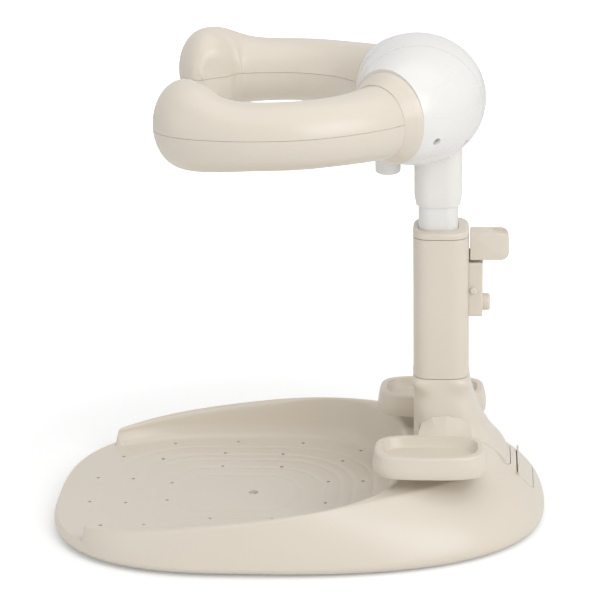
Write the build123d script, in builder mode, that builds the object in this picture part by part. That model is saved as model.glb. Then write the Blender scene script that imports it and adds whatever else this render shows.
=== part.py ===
from build123d import *

import os
from math import cos, hypot, pi, radians, sin, sqrt

os.makedirs("parts", exist_ok=True)

# Frame: +Z up, floor at z = 0, -Y the open front, +Y the column side, X across.

# Fits and shut lines
SEAM = 0.3                  # half of a visible shut line
RUN_FIT = 0.05              # radial clearance of a shaft in its bore
SLIDE_FIT = 0.4             # gap round a sliding piece

# Base tub, a blunt egg in plan
BASE_MID_Y = -40.0
BASE_HALF_WIDTH = 174.0
BASE_FRONT = 200.0          # from BASE_MID_Y to the front edge
BASE_REAR = 280.0           # from BASE_MID_Y to the rear edge
BASE_LIFT = 1.5             # shell edge above the ground
BASE_WALL = 3.2
FLOOR_Z = 15.0
CREST_HALF_WIDTH = 161.0
CREST_FRONT = 196.0
CREST_REAR = 244.0
CREST_LOW = 30.0            # crest height at the wall ends
CREST_RISE = 31.5           # more height at the back
WALL_END_Y = -196.0
POCKET_HALF_WIDTH = 144.0
POCKET_REAR_Y = 97.0
POCKET_PROFILE = (          # rise from the floor, reach outwards
    (0.0, -8.0), (0.9, -4.2), (2.9, -1.2), (6.0, 0.6), (12.0, 2.8),
    (25.0, 6.6), (50.0, 13.5), (75.0, 20.2), (99.0, 26.7),
)
CREST_ROUNDING = 9.0        # on the outside of the wall
RIM_ROUNDING = 2.0          # on the pocket side of the wall

# Column, a rounded square in section
COLUMN_Y = 140.0
COLUMN_X = 58.0             # size across
COLUMN_LENGTH_Y = 53.0      # size front to back
COLUMN_POWER = 3.8          # squareness of the section
COLUMN_Z = 143.0
CAP_Z = 281.7
COLUMN_TOP_Z = 288.0
COLUMN_WALL = 3.0

# Telescopic post
POST_Y = 137.5
TUBE_SIZE = 37.5
TUBE_CORNER = 12.0
TUBE_WALL = 3.0
TUBE_BOTTOM_Z = 172.0
SLEEVE_SIZE = 45.0
SLEEVE_CORNER = 15.0
SLEEVE_Z = 311.0

# Head, a bent ovoid between the two arm roots
HEAD_Y = 121.0
HEAD_Z = 411.0
HEAD_RADIUS_Y = 61.0
HEAD_RADIUS_Z = 58.0
HEAD_REACH_Y = 94.5         # half length of the ovoid, as seen from above
HEAD_REACH_Z = 99.8         # half length of the ovoid, as seen from the front
HEAD_BEND = 39.0            # how far the path drops forward at HEAD_BEND_X
HEAD_BEND_X = 79.0
HEAD_WALL = 3.0
BAND_HALF = 28.0            # half width of the middle band
CORE_Z = 380.0              # underside of the inner bracket
SOCKET_TOP_Z = 402.0        # top of the post's socket in the bracket
HEAD_SCREWS = (             # point on the shell, inward direction
    ((82.0, 137.0, 391.2), (-0.52, -0.75, 0.42)),
    ((40.0, 163.0, 378.5), (-0.241, -0.766, 0.597)),
)

# Collars and arm roots; the hinge axis leaves the head at the root point
ROOT_X = 80.0
ROOT_Y = 83.0
ROOT_Z = 409.0
ROOT_AXIS_X = 0.766
ROOT_AXIS_Y = -0.643
COLLAR_DEPTH = 16.4
COLLAR_RADIUS = 43.0

# Arm release knob under the head
KNOB_Y = 90.4
KNOB_RADIUS = 12.0
KNOB_BOTTOM_Z = 339.4
KNOB_TOP_Z = 361.4
LOCK_Z = 374.5              # underside of the lock plate
SPRING_SEAT_Z = 367.5
PAD_X = 47.0
PAD_Y = 108.0

# Arms, two halves of a padded-looking ring
RING_Y = -17.0
RING_RADIUS = 129.0
RING_Z = 408.5
ROOT_ANGLE = 51.0           # on the ring, from +X towards +Y
ROOT_RADIUS = 33.7
ARM_RADIUS = 30.5
ARM_WALL = 3.0
PARTING_Z = 412.0
HUB_RADIUS = 16.0
ARM_SECTIONS = ((54, 33.9), (47, 33.0), (38, 31.6), (25, 30.6), (12, 30.5), (-1, 30.5))
FIST_X = 88.0               # the tip is swept round this upright line
FIST_Y = -50.0
FIST_SECTIONS = (           # direction, reach, half width, half height, mid height
    (0, 39, 30.5, 33, 409.5),
    (-30, 39, 31, 38, 413.0),
    (-60, 41, 31, 40, 414.5),
    (-90, 37, 25, 36, 414.5),
    (-112, 38, 13, 20, 414.5),
)
FIST_TIP = (66.0, -88.0, 414.0)
FIST_HOLLOW = 4             # sections that the hollow runs through
ARM_SCREWS = ((125.6, 12), (118, -66))

# Height latch on the back of the column
LATCH_WIDTH = 23.0
LEVER_FACE_Y = 167.3
LEVER_END_Y = 204.0
LEVER_TOP_Z = 283.0
LEVER_BOTTOM_Z = 256.6
HOUSING_BACK_Y = 179.5
HOUSING_BOTTOM_Z = 200.5
HOUSING_TOP_Z = 254.0
PIVOT_Y = 170.8
PIVOT_Z = 260.0
BUTTON_Z = 212.0
BUTTON_RADIUS = 8.2

# Trays
TRAY_X = 80.5
TRAY_Y = 130.0
TRAY_WIDTH = 65.7
TRAY_LENGTH = 107.5
TRAY_RIM_Z = 95.7
TRAY_BOTTOM_Z = 74.3
TRAY_FLOOR_Z = 86.5
TRAY_WALL = 3.0
TRAY_POWER = 3.4           # squareness of the outline
TRAY_ROOT_X = 38.5

RING_POINTS = 36
BELLY_Z = 9.0
TUB_LEVELS = (20.0, 32.0, 44.0, 56.0, 68.0, 80.0)

# Neck sections: height, half width, rear y, squareness
NECK_SECTIONS = (
    (57.0, 100.0, 203.0, 2.2),
    (58.6, 88.0, 203.6, 2.2),
    (61.2, 76.0, 203.4, 2.3),
    (65.3, 65.0, 201.5, 2.4),
    (71.0, 56.0, 197.6, 2.5),
    (78.5, 47.5, 191.6, 2.6),
    (86.0, 41.5, 186.4, 2.8),
    (94.0, 37.5, 181.8, 2.9),
    (103.0, 34.8, 177.4, 3.1),
    (115.0, 32.4, 172.8, 3.3),
    (128.0, 30.4, 169.0, 3.6),
    (COLUMN_Z, COLUMN_X / 2, COLUMN_Y + COLUMN_LENGTH_Y / 2, COLUMN_POWER),
)
NECK_FRONT_Y = 113.5

# Rear flap
HATCH_HALF_WIDTH = 32.0
HATCH_FRONT_Y = 211.0
HATCH_REAR_Y = 229.0
HINGE_Y = 214.6
HINGE_Z = 50.1
HATCH_EDGE_Y = 213.8        # flap's edge, clear of the shell when it swings

# Underside
PLATE_Z = 6.0
PLATE_TOP_Z = 9.0
BOTTOM_SCREWS = (           # x, y, top of the boss
    (157, -60, 40), (146, 40, 50), (92, 125, 57), (52, 166, 57),
)
CUP_CENTRES = ((-105, -120), (105, -120), (-95, 78), (95, 78))

# Drain holes in the pocket floor, right half
DRAIN_HOLES = (
    (21.5, -127.3), (30, -167), (30.2, -202.3), (65.5, -80.8), (64.5, -21), (82, -143),
    (26.5, 28), (27, 62.4), (79, 39.8), (86, -183.8), (98.3, -81), (96.9, -21.9),
    (106.4, 57.3), (122.5, -135), (128.8, -70.2), (125.5, -3.1),
)


def finish(part, label):
    """Label a finished piece and write it to its own file."""
    part.label = label
    export_step(part, f"parts/{label}.step")


def egg_radius(angle, half_width, front, rear, front_power, rear_power):
    """Distance from the middle of an egg outline to its edge."""
    length, power = (rear, rear_power) if sin(angle) > 0 else (front, front_power)
    across = abs(cos(angle)) / half_width
    along = abs(sin(angle)) / length
    return (across**power + along**power) ** (-1 / power)


def egg_ring(mid_y, half_width, front, rear, front_power, rear_power, height,
             count=RING_POINTS):
    """Points of an egg outline; height is a number or a function of the angle and y."""
    points = []
    for step in range(count):
        angle = 2 * pi * step / count - pi / 2
        reach = egg_radius(angle, half_width, front, rear, front_power, rear_power)
        x, y = reach * cos(angle), mid_y + reach * sin(angle)
        z = height(angle, y) if callable(height) else height
        points.append((x, y, z))
    return points


def closed_wire(points):
    return Wire([Edge.make_spline([Vector(*p) for p in points], periodic=True)])


def crest_height(y):
    """Height of the tub wall's crest, low at the open front."""
    share = min(1.0, (y - WALL_END_Y) / 296)
    return CREST_LOW + CREST_RISE * (1 - (1 - share) ** 1.35)


def tub_rings(inset):
    """Level rings of the tub's outer wall; the wall leans in from belly to crest."""
    ground = egg_ring(BASE_MID_Y, BASE_HALF_WIDTH - 4 - inset, BASE_FRONT - 4 - inset,
                      BASE_REAR - 4 - inset, 2.7, 2.5, 0.0)
    belly = egg_ring(BASE_MID_Y, BASE_HALF_WIDTH - inset, BASE_FRONT - inset,
                     BASE_REAR - inset, 2.7, 2.5, BELLY_Z)
    crest = egg_ring(BASE_MID_Y, CREST_HALF_WIDTH - inset, CREST_FRONT - inset,
                     CREST_REAR - inset, 2.75, 1.65, lambda angle, y: crest_height(y))
    rings = [ground, belly]
    for z in TUB_LEVELS:
        ring = []
        for step, (low, high) in enumerate(zip(belly, crest)):
            rearward = max(0.0, sin(2 * pi * step / RING_POINTS - pi / 2))
            bulge = 0.28 + 0.52 * rearward**2
            share = (z - BELLY_Z) / (high[2] - BELLY_Z)
            run = hypot(high[0] - low[0], high[1] - low[1])
            swell = bulge * run * share * max(0.0, 1 - share)
            reach = share - swell / run
            ring.append((low[0] + reach * (high[0] - low[0]),
                         low[1] + reach * (high[1] - low[1]), z))
        rings.append(ring)
    return rings


def neck_rings(inset):
    """Level rings of the neck, flaring like a bell from the column to the tub."""
    rings = []
    for z, half_width, rear_y, power in NECK_SECTIONS:
        mid_y = (NECK_FRONT_Y + rear_y) / 2
        length = (rear_y - NECK_FRONT_Y) / 2 - inset
        rings.append(egg_ring(mid_y, half_width - inset, length, length, power, power, z))
    return rings


def loft_rings(rings, ruled=False):
    return Solid.make_loft([closed_wire(ring) for ring in rings], ruled)


def block(low, high):
    """A plain box between two opposite corners."""
    size = [b - a for a, b in zip(low, high)]
    return Solid.make_box(*size, Plane(low))


def rod(start, end, radius):
    """A round bar between two points."""
    start, end = Vector(*start), Vector(*end)
    return Solid.make_cylinder(radius, (end - start).length, Plane(start, z_dir=end - start))


def mirrored(part):
    return mirror(part, about=Plane.YZ)


def above_crest(drop):
    """Everything above the tub's crest line, which climbs towards the back."""
    line = [(y, crest_height(y) - drop) for y in range(-240, 161, 40)]
    with BuildPart() as block:
        with BuildSketch(Plane.YZ):
            with BuildLine():
                Spline(*line)
                Polyline(line[-1], (300, line[-1][1]), (300, 200), (-300, 200),
                         (-300, line[0][1]), line[0])
            make_face()
        extrude(amount=220, both=True)
    return block.part


def pocket_solid(grow):
    """The standing pocket: leaning walls, a rounded foot, and open to the front."""
    rings = []
    for rise, out in POCKET_PROFILE:
        side = grow + out
        rear = grow + (out if out < 0 else out * 0.62)
        rings.append(egg_ring(BASE_MID_Y, POCKET_HALF_WIDTH + side, 190 + side,
                              POCKET_REAR_Y - BASE_MID_Y + rear, 3.2, 2.8,
                              FLOOR_Z - grow + rise))
    with BuildPart() as pocket:
        add(loft_rings(rings, ruled=True))
        with BuildSketch(Plane.XY.offset(FLOOR_Z - grow)):
            with Locations((0, WALL_END_Y - 90)):
                Rectangle(500, 198 + 2 * grow)
            with Locations((-122, WALL_END_Y + 9), (122, WALL_END_Y + 9)):
                Circle(9 - grow, mode=Mode.SUBTRACT)
        extrude(amount=100)
    return pocket.part


def base_skin(inset, drop, rounding):
    """The closed outside of tub and neck, or the same shape moved inwards."""
    with BuildPart() as skin:
        add(loft_rings(tub_rings(inset)))
        add(above_crest(drop), mode=Mode.SUBTRACT)
        if rounding:
            crest = [e for e in skin.edges() if e.bounding_box().min.Z > 20 and e.length > 100]
            fillet(crest, rounding)
        add(loft_rings(neck_rings(inset)))
    return skin.part


def neck_zone(gap):
    """The plan shape of the neck cover, with its tongue down the back."""
    with BuildPart() as zone:
        with BuildSketch(Plane.XY.offset(42 + gap)) as plan:
            with BuildLine():
                Polyline((-40, 90), (-40, 165), (-27, 207), (27, 207), (40, 165), (40, 90),
                         (-40, 90))
            make_face()
            fillet(plan.vertices().filter_by_position(Axis.Y, 160, 210), 9)
            if gap:
                offset(amount=-gap)
        extrude(amount=120)
        add(block((-60, 80, 30), (60, 150, 66 + gap)), mode=Mode.SUBTRACT)
    return zone.part


def hatch_zone(gap):
    """The rear flap's outline, straight through the rear slope."""
    with BuildPart() as zone:
        with BuildSketch(Plane.XY.offset(24 + gap)):
            with Locations((0, (HATCH_FRONT_Y + HATCH_REAR_Y) / 2)):
                RectangleRounded(2 * (HATCH_HALF_WIDTH - gap),
                                 HATCH_REAR_Y - HATCH_FRONT_Y - 2 * gap, 7)
        extrude(amount=40 - gap)
    return zone.part


def on_pocket_rim(edge):
    """Whether an edge lies where the tub's crest meets the pocket."""
    box = edge.bounding_box()
    level = box.min.Z > 22 and box.max.Z < 62
    return level and -200 < box.max.Y < 150 and edge.length > 6


outer_skin = base_skin(0.0, 0.0, CREST_ROUNDING)
inner_skin = base_skin(BASE_WALL, 7.0, 0.0)

# Closed skin with the standing pocket, before anything is cut out of it
with BuildPart() as base_body:
    add(outer_skin)
    add(pocket_solid(0.0), mode=Mode.SUBTRACT)
    add(block((-250, -300, -5), (250, 300, BASE_LIFT)), mode=Mode.SUBTRACT)
    fillet([edge for edge in base_body.edges() if on_pocket_rim(edge)], RIM_ROUNDING)

with BuildPart() as base_hollow:
    add(inner_skin)
    add(pocket_solid(BASE_WALL), mode=Mode.SUBTRACT)

with BuildPart() as base_walls:
    add(base_body.part)
    add(base_hollow.part, mode=Mode.SUBTRACT)

with BuildPart() as base_shell:
    add(base_walls.part)
    add(neck_zone(0.0), mode=Mode.SUBTRACT)
    add(hatch_zone(0.0), mode=Mode.SUBTRACT)
    for x, y, top in BOTTOM_SCREWS:
        add(rod((x, y, PLATE_TOP_Z + 0.1), (x, y, top), 3.2))
        add(rod((-x, y, PLATE_TOP_Z + 0.1), (-x, y, top), 3.2))
    with Locations([(s * x, y, 0) for x, y in DRAIN_HOLES for s in (-1, 1)]):
        Cylinder(1.75, 60, mode=Mode.SUBTRACT)
    with Locations((0, -44.3, 0)):
        Cylinder(4.75, 60, mode=Mode.SUBTRACT)
    for x, y, top in BOTTOM_SCREWS:
        add(rod((x, y, 0), (x, y, 22), 1.55), mode=Mode.SUBTRACT)
        add(rod((-x, y, 0), (-x, y, 22), 1.55), mode=Mode.SUBTRACT)
    add(rod((-35, HINGE_Y, HINGE_Z), (35, HINGE_Y, HINGE_Z), 1.05), mode=Mode.SUBTRACT)
finish(base_shell.part, "base_shell")

with BuildPart() as neck_cover:
    add(base_walls.part)
    add(neck_zone(2 * SEAM), mode=Mode.INTERSECT)
    for side in (-1, 1):
        with Locations((side * 38, TRAY_Y, 92)):
            Box(24, 20.8, 8.8, mode=Mode.SUBTRACT)
finish(neck_cover.part, "neck_cover")

with BuildPart() as release_hatch:
    add(base_walls.part)
    add(hatch_zone(SLIDE_FIT), mode=Mode.INTERSECT)
    add(block((-50, 200, 20), (50, HATCH_EDGE_Y, 70)), mode=Mode.SUBTRACT)
    add(rod((-40, HINGE_Y, HINGE_Z), (40, HINGE_Y, HINGE_Z), 1.05), mode=Mode.SUBTRACT)
finish(release_hatch.part, "release_hatch")

with BuildPart() as hatch_pin:
    add(rod((-34.5, HINGE_Y, HINGE_Z), (34.5, HINGE_Y, HINGE_Z), 1.0))
finish(hatch_pin.part, "hatch_pin")

with BuildPart() as bottom_cover:
    with BuildSketch(Plane.XY.offset(PLATE_Z)):
        add(Face(closed_wire(egg_ring(BASE_MID_Y, 167.0, 192.0, 271.0, 2.7, 2.5, PLATE_Z))))
    extrude(amount=PLATE_TOP_Z - PLATE_Z)
    with Locations([(x, y, PLATE_Z) for x, y in CUP_CENTRES]):
        Cylinder(4.1, 12, mode=Mode.SUBTRACT)
    for x, y, top in BOTTOM_SCREWS:
        for side in (-1, 1):
            with Locations((side * x, y, PLATE_Z)):
                Cylinder(2.1, 12, mode=Mode.SUBTRACT)
    with Locations([(x, y, PLATE_Z) for x in (-60, -20, 20, 60) for y in (-60, 0)]):
        Box(8, 40, 12, mode=Mode.SUBTRACT)
finish(bottom_cover.part, "bottom_cover")

with BuildPart() as suction_cups:
    for x, y in CUP_CENTRES:
        with BuildSketch(Plane(origin=(x, y, 0), x_dir=(1, 0, 0), z_dir=(0, -1, 0))):
            with BuildLine():
                Polyline((0, 3.2), (12, 2.6), (25, 0.0), (27, 0.0), (24, 2.6), (9, 5.7),
                         (4.0, 5.7), (4.0, 9.4), (6.0, 10.2), (5.0, 11.2), (0, 11.2), (0, 3.2))
            make_face()
        revolve(axis=Axis((x, y, 0), (0, 0, 1)))
finish(suction_cups.part, "suction_cups")

with BuildPart() as bottom_screws:
    for x, y, top in BOTTOM_SCREWS:
        for side in (-1, 1):
            add(rod((side * x, y, 3.6), (side * x, y, PLATE_Z), 3.8))
            add(rod((side * x, y, PLATE_Z), (side * x, y, 21), 1.5))
            with Locations((side * x, y, 3.6)):
                Box(5.2, 1.0, 2.0, mode=Mode.SUBTRACT)
                Box(1.0, 5.2, 2.0, mode=Mode.SUBTRACT)
finish(bottom_screws.part, "bottom_screws")


def column_block(inset, low, high):
    """A length of the column's rounded square section."""
    half_x = COLUMN_X / 2 - inset
    half_y = COLUMN_LENGTH_Y / 2 - inset
    rings = [egg_ring(COLUMN_Y, half_x, half_y, half_y, COLUMN_POWER, COLUMN_POWER, z, 72)
             for z in (low, high)]
    return loft_rings(rings, ruled=True)


def post_block(size, corner, low, high):
    """A length of rounded square tube, filled."""
    with BuildPart() as bar:
        with BuildSketch(Plane.XY.offset(low)):
            with Locations((0, POST_Y)):
                RectangleRounded(size, size, corner)
        extrude(amount=high - low)
    return bar.part


with BuildPart() as column_flange:
    add(column_block(COLUMN_WALL + 1.0, COLUMN_Z - 12, COLUMN_Z + 14))
    add(column_block(COLUMN_WALL + 5.0, COLUMN_Z - 14, COLUMN_Z + 8), mode=Mode.SUBTRACT)
    add(post_block(TUBE_SIZE + 0.8, TUBE_CORNER, COLUMN_Z, COLUMN_Z + 20), mode=Mode.SUBTRACT)
finish(column_flange.part, "column_flange")

with BuildPart() as column_shell:
    add(column_block(0.0, COLUMN_Z + 2 * SEAM, CAP_Z - SEAM))
    add(column_block(COLUMN_WALL, COLUMN_Z - 2, CAP_Z + 2), mode=Mode.SUBTRACT)
    add(block((-3.5, 164.5, PIVOT_Z - 3.6), (3.5, PIVOT_Y + 3.4, PIVOT_Z + 4)))
    add(rod((-10, PIVOT_Y, PIVOT_Z), (10, PIVOT_Y, PIVOT_Z), 2.0 + RUN_FIT), mode=Mode.SUBTRACT)
    add(block((-3.9, 160, 267.3), (3.9, 168, 273.1)), mode=Mode.SUBTRACT)
finish(column_shell.part, "column_shell")

with BuildPart() as column_cap:
    add(column_block(0.0, CAP_Z + SEAM, COLUMN_TOP_Z))
    fillet(column_cap.faces().sort_by(Axis.Z)[-1].edges(), 3)
    add(column_block(COLUMN_WALL + 0.2, CAP_Z - 6, CAP_Z + SEAM))
    add(post_block(TUBE_SIZE + 0.8, TUBE_CORNER, CAP_Z - 10, COLUMN_TOP_Z + 5), mode=Mode.SUBTRACT)
finish(column_cap.part, "column_cap")

with BuildPart() as guide_bush:
    add(column_block(COLUMN_WALL + 0.2, CAP_Z - 24, CAP_Z - 6.6))
    add(post_block(TUBE_SIZE + 0.3, TUBE_CORNER, CAP_Z - 30, CAP_Z), mode=Mode.SUBTRACT)
    add(block((-12, 156, CAP_Z - 30), (12, 170, CAP_Z)), mode=Mode.SUBTRACT)
finish(guide_bush.part, "guide_bush")

with BuildPart() as inner_tube:
    add(post_block(TUBE_SIZE, TUBE_CORNER, TUBE_BOTTOM_Z, SOCKET_TOP_Z - 0.2))
    add(post_block(TUBE_SIZE - 2 * TUBE_WALL, TUBE_CORNER - TUBE_WALL, TUBE_BOTTOM_Z - 1,
                   SOCKET_TOP_Z + 1), mode=Mode.SUBTRACT)
finish(inner_tube.part, "inner_tube")

with BuildPart() as upper_sleeve:
    with BuildSketch(Plane.XY.offset(SLEEVE_Z)):
        with Locations((0, POST_Y)):
            RectangleRounded(SLEEVE_SIZE - 3.4, SLEEVE_SIZE - 3.4, SLEEVE_CORNER - 1.7)
    with BuildSketch(Plane.XY.offset(SLEEVE_Z + 9)):
        with Locations((0, POST_Y)):
            RectangleRounded(SLEEVE_SIZE, SLEEVE_SIZE, SLEEVE_CORNER)
    loft()
    add(post_block(SLEEVE_SIZE, SLEEVE_CORNER, SLEEVE_Z + 9, CORE_Z - 0.3))
    add(post_block(TUBE_SIZE + 0.1, TUBE_CORNER, SLEEVE_Z - 1, CORE_Z + 1), mode=Mode.SUBTRACT)
finish(upper_sleeve.part, "upper_sleeve")

with BuildPart() as latch_housing:
    with BuildSketch(Plane.YZ):
        with BuildLine():
            Polyline((165, HOUSING_BOTTOM_Z), (HOUSING_BACK_Y, HOUSING_BOTTOM_Z),
                     (HOUSING_BACK_Y, HOUSING_TOP_Z), (165, HOUSING_TOP_Z), (165, HOUSING_BOTTOM_Z))
        make_face()
    extrude(amount=LATCH_WIDTH / 2, both=True)
    rear = latch_housing.edges().filter_by(Axis.X).filter_by_position(Axis.Y, 179, 180)
    fillet(rear.sort_by(Axis.Z)[0], 2)
    fillet(latch_housing.edges().filter_by_position(Axis.Y, 178, 180).filter_by(Axis.Z), 1.6)
    add(column_block(-0.15, 190, 262), mode=Mode.SUBTRACT)
    add(rod((0, 171, BUTTON_Z), (0, 185, BUTTON_Z), BUTTON_RADIUS + SLIDE_FIT), mode=Mode.SUBTRACT)
    add(rod((-20, 170.7, 227), (20, 170.7, 227), 2.0), mode=Mode.SUBTRACT)
finish(latch_housing.part, "latch_housing")

with BuildPart() as housing_pin:
    add(rod((-11.8, 170.7, 227), (11.8, 170.7, 227), 1.95))
    add(rod((11.6, 170.7, 227), (14.2, 170.7, 227), 3.4))
    add(rod((-14.2, 170.7, 227), (-11.6, 170.7, 227), 3.4))
    fillet(housing_pin.edges().filter_by(GeomType.CIRCLE).filter_by_position(Axis.X, 14, 15), 1.2)
finish(housing_pin.part, "housing_pin")

with BuildPart() as lock_button:
    add(rod((0, 175.6, BUTTON_Z), (0, 186.5, BUTTON_Z), BUTTON_RADIUS))
    fillet(lock_button.edges().filter_by_position(Axis.Y, 186, 187), 2.2)
    add(rod((0, 175, BUTTON_Z), (0, 180.5, BUTTON_Z), 5.0), mode=Mode.SUBTRACT)
finish(lock_button.part, "lock_button")


def coil(start, direction, radius, wire, pitch, height):
    """A round wire coil standing on its start point."""
    plane = Plane(start, z_dir=direction)
    path = plane.location * Edge.make_helix(pitch, height, radius)
    with BuildPart() as spring:
        with BuildSketch(Plane(path @ 0, z_dir=path % 0)):
            Circle(wire)
        sweep(path=path, is_frenet=True)
    return spring.part


with BuildPart() as button_spring:
    add(coil((0, 171.5, BUTTON_Z), (0, 1, 0), 4.2, 0.35, 1.2, 5.2))
finish(button_spring.part, "button_spring")

with BuildPart() as height_lever:
    with BuildSketch(Plane.YZ):
        with BuildLine():
            Polyline((LEVER_FACE_Y, LEVER_BOTTOM_Z + 1.4), (LEVER_FACE_Y + 1.4, LEVER_BOTTOM_Z),
                     (LEVER_END_Y, LEVER_BOTTOM_Z), (LEVER_END_Y, LEVER_TOP_Z),
                     (LEVER_FACE_Y + 1, LEVER_TOP_Z), (LEVER_FACE_Y, LEVER_TOP_Z - 1),
                     (LEVER_FACE_Y, LEVER_BOTTOM_Z + 1.4))
        lever_face = make_face()
        fillet(lever_face.vertices().filter_by_position(Axis.Y, 200, 210), 6)
    extrude(amount=LATCH_WIDTH / 2, both=True)
    fillet(height_lever.faces().filter_by(Plane.YZ).edges(), 1.2)
    add(rod((-8.3, 195, LEVER_TOP_Z + 10.5), (8.3, 195, LEVER_TOP_Z + 10.5), 14),
        mode=Mode.SUBTRACT)
    add(block((-3.9, 150, 250), (3.9, PIVOT_Y + 4.5, 276)), mode=Mode.SUBTRACT)
    add(rod((-12, PIVOT_Y, PIVOT_Z), (12, PIVOT_Y, PIVOT_Z), 2.0 + RUN_FIT), mode=Mode.SUBTRACT)
finish(height_lever.part, "height_lever")

with BuildPart() as lever_pin:
    add(rod((-11, PIVOT_Y, PIVOT_Z), (11, PIVOT_Y, PIVOT_Z), 2.0))
finish(lever_pin.part, "lever_pin")

with BuildPart() as clamp_shoe:
    add(block((-11, POST_Y + TUBE_SIZE / 2 + 0.35, 246), (11, 160.6, 274)))
    fillet(clamp_shoe.edges().filter_by(Axis.Z), 1.5)
    add(block((-3.4, 160, 268), (3.4, 165.8, 272.4)))
finish(clamp_shoe.part, "clamp_shoe")


def head_section(x, inset):
    """One cross-section of the bent ovoid, square to its path."""
    slope = -2 * HEAD_BEND * x / HEAD_BEND_X**2
    side = Vector(-slope, 1, 0).normalized()
    mid = Vector(x, HEAD_Y - HEAD_BEND * (x / HEAD_BEND_X) ** 2, HEAD_Z)
    wide = HEAD_RADIUS_Y * sqrt(1 - (x / HEAD_REACH_Y) ** 2) - inset
    tall = HEAD_RADIUS_Z * sqrt(1 - (x / HEAD_REACH_Z) ** 2) - inset
    return oval(mid, side, wide, tall, tall)


def oval(mid, side, wide, above, below):
    """An upright oval ring of points; above and below are its half heights."""
    points = []
    for step in range(24):
        angle = 2 * pi * step / 24
        tall = above if sin(angle) > 0 else below
        point = mid + side * (wide * cos(angle)) + Vector(0, 0, tall * sin(angle))
        points.append(tuple(point))
    return points


def head_solid(inset):
    return loft_rings([head_section(x, inset) for x in (-70, -48, -24, 0, 24, 48, 70)])


def root_plane(side, reach):
    """The plane across an arm's hinge axis, reach mm out from the shut line."""
    out = Vector(side * ROOT_AXIS_X, ROOT_AXIS_Y, 0)
    return Plane(Vector(side * ROOT_X, ROOT_Y, ROOT_Z) + out * reach, x_dir=(0, 0, 1), z_dir=out)


def root_bar(side, start, end, radius):
    """A round bar along an arm's hinge axis."""
    return Solid.make_cylinder(radius, end - start, root_plane(side, start))


def beyond_root(side, reach):
    """Everything further out than a plane across the hinge axis."""
    plane = root_plane(side, reach)
    return Solid.make_box(200, 200, 120, Plane(plane.origin - plane.x_dir * 100
                                               - plane.y_dir * 100, plane.x_dir, plane.z_dir))


head_walls = head_solid(0.0) - head_solid(HEAD_WALL)

with BuildPart() as head_band:
    add(head_walls)
    add(block((-BAND_HALF + SEAM, 0, 300), (BAND_HALF - SEAM, 250, 500)), mode=Mode.INTERSECT)
    add(rod((0, KNOB_Y, 358), (0, KNOB_Y, SPRING_SEAT_Z), 15) & head_solid(1.0))
    add(post_block(SLEEVE_SIZE + 0.6, SLEEVE_CORNER, 340, CORE_Z), mode=Mode.SUBTRACT)
    add(rod((0, KNOB_Y, 340), (0, KNOB_Y, KNOB_TOP_Z + 0.6), KNOB_RADIUS + SLIDE_FIT),
        mode=Mode.SUBTRACT)
    add(rod((0, KNOB_Y, 350), (0, KNOB_Y, SPRING_SEAT_Z + 5), 5.4), mode=Mode.SUBTRACT)
    add(rod((0, KNOB_Y, SPRING_SEAT_Z), (0, KNOB_Y, SPRING_SEAT_Z + 5), 7.3),
        mode=Mode.SUBTRACT)
finish(head_band.part, "head_band")

with BuildPart() as head_shell_right:
    add(head_walls)
    add(block((BAND_HALF + SEAM, 0, 300), (150, 250, 500)), mode=Mode.INTERSECT)
    add(beyond_root(1, -COLLAR_DEPTH), mode=Mode.SUBTRACT)
    for point, inward in HEAD_SCREWS:
        start, way = Vector(*point), Vector(*inward)
        add(rod(start - way * 6, start + way * 6, 3.6), mode=Mode.SUBTRACT)
finish(head_shell_right.part, "head_shell_right")

with BuildPart() as head_shell_left:
    add(mirrored(head_shell_right.part))
finish(head_shell_left.part, "head_shell_left")


def collar(side):
    """The flared trim ring between head and arm root."""
    wall = HEAD_WALL
    with BuildPart() as ring:
        with BuildSketch(Plane.XZ):
            with BuildLine():
                Polyline((COLLAR_RADIUS - 0.4, -COLLAR_DEPTH + SEAM), (40.2, -11), (36.6, -5),
                         (ROOT_RADIUS, -SEAM), (12.6, -SEAM), (12.6, -SEAM - wall),
                         (ROOT_RADIUS - 4, -SEAM - wall), (36.4 - wall, -7.5), (40.2 - wall, -12.5),
                         (COLLAR_RADIUS - 1 - wall, -COLLAR_DEPTH + SEAM),
                         (COLLAR_RADIUS - 0.4, -COLLAR_DEPTH + SEAM))
            make_face()
        revolve(axis=Axis.Z)
    return root_plane(side, 0).location * ring.part


with BuildPart() as collar_right:
    add(collar(1))
finish(collar_right.part, "collar_right")

with BuildPart() as collar_left:
    add(collar(-1))
finish(collar_left.part, "collar_left")

with BuildPart() as head_core_right:
    add(block((0, 108, CORE_Z), (34, 160, 434)))
    add(block((0, 100, CORE_Z), (56, 140, 386)))
    add(block((0, 98, 428.5), (54, 134, 434)))
    add(root_bar(1, -37, -24, 22))
    for point, inward in HEAD_SCREWS:
        start, way = Vector(*point), Vector(*inward)
        add(rod(start + way * 4.2, start + way * 30, 4.5))
        add(rod(start, start + way * 14, 1.55), mode=Mode.SUBTRACT)
    add(post_block(TUBE_SIZE + 0.1, TUBE_CORNER, CORE_Z - 5, SOCKET_TOP_Z), mode=Mode.SUBTRACT)
    add(root_bar(1, -45.5, -37, 19), mode=Mode.SUBTRACT)
    add(root_bar(1, -60, 0, HUB_RADIUS - 4 + RUN_FIT), mode=Mode.SUBTRACT)
    add(rod((PAD_X, PAD_Y, 370), (PAD_X, PAD_Y, 392), 4.6), mode=Mode.SUBTRACT)

with BuildPart() as head_core:
    add(head_core_right.part)
    add(mirrored(head_core_right.part))
finish(head_core.part, "head_core")

with BuildPart() as head_screws_right:
    for point, inward in HEAD_SCREWS:
        start, way = Vector(*point), Vector(*inward)
        add(rod(start + way * 1.6, start + way * 4.0, 3.0))
        add(rod(start + way * 3.8, start + way * 13, 1.5))

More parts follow.
